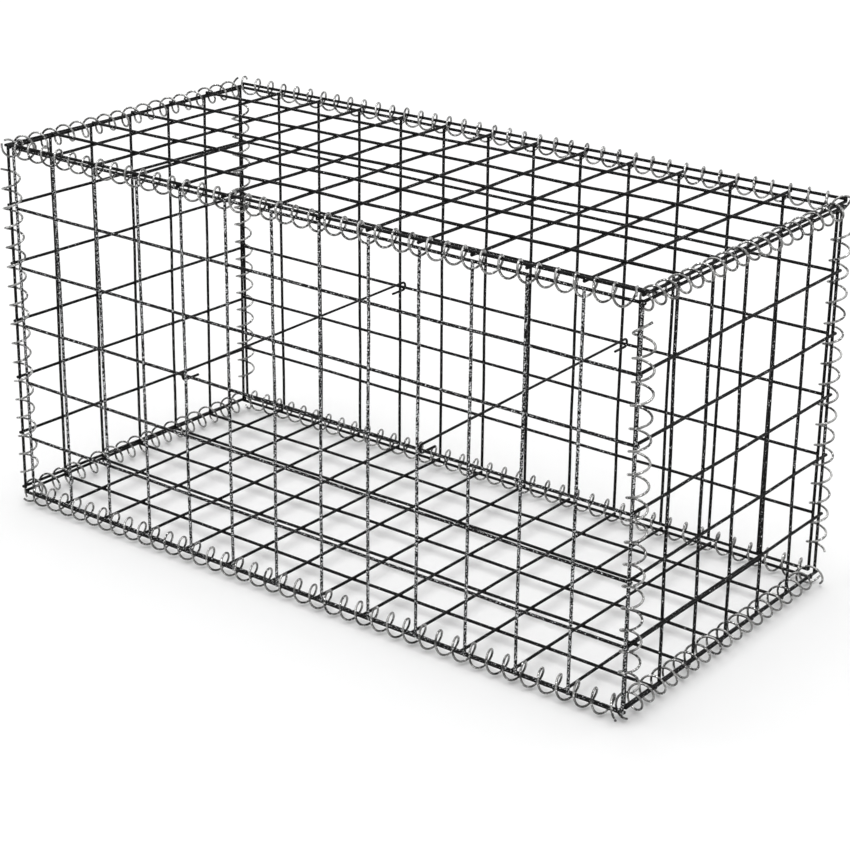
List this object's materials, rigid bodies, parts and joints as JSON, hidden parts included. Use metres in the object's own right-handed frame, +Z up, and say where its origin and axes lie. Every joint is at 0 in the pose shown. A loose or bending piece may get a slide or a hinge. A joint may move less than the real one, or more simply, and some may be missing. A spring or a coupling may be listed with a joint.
{
  "type": "gabion basket",
  "caption": "Empty rectangular box of welded wire mesh panels, bound along every edge by spiral wire binders, with hooked cross ties inside; filled with stone to build walls.",
  "frame": {"origin": "on the floor under the middle of the basket, at the lowest point of the bottom spirals", "axes": "+X along the basket towards its right end, +Y from front to back, +Z up"},
  "size_m": [1.0158, 0.4912, 0.5267],
  "materials": {
    "mesh_wire": "zinc-aluminium coated, dull dark grey with fine bright speckle",
    "spiral_wire": "bright galvanised, drawn wire",
    "tie_wire": "zinc-aluminium coated, dull dark grey"
  },
  "bodies": {
    "root": {"base_panel": "mesh_wire", "lid_panel": "mesh_wire", "front_panel": "mesh_wire", "back_panel": "mesh_wire", "left_end_panel": "mesh_wire", "right_end_panel": "mesh_wire", "bottom_front_spiral": "spiral_wire", "bottom_back_spiral": "spiral_wire", "bottom_left_spiral": "spiral_wire", "bottom_right_spiral": "spiral_wire", "top_front_spiral": "spiral_wire", "top_back_spiral": "spiral_wire", "top_left_spiral": "spiral_wire", "top_right_spiral": "spiral_wire", "front_left_spiral": "spiral_wire", "front_right_spiral": "spiral_wire", "back_left_spiral": "spiral_wire", "back_right_spiral": "spiral_wire", "left_tie": "tie_wire", "right_tie": "tie_wire"}
  },
  "joints": []
}
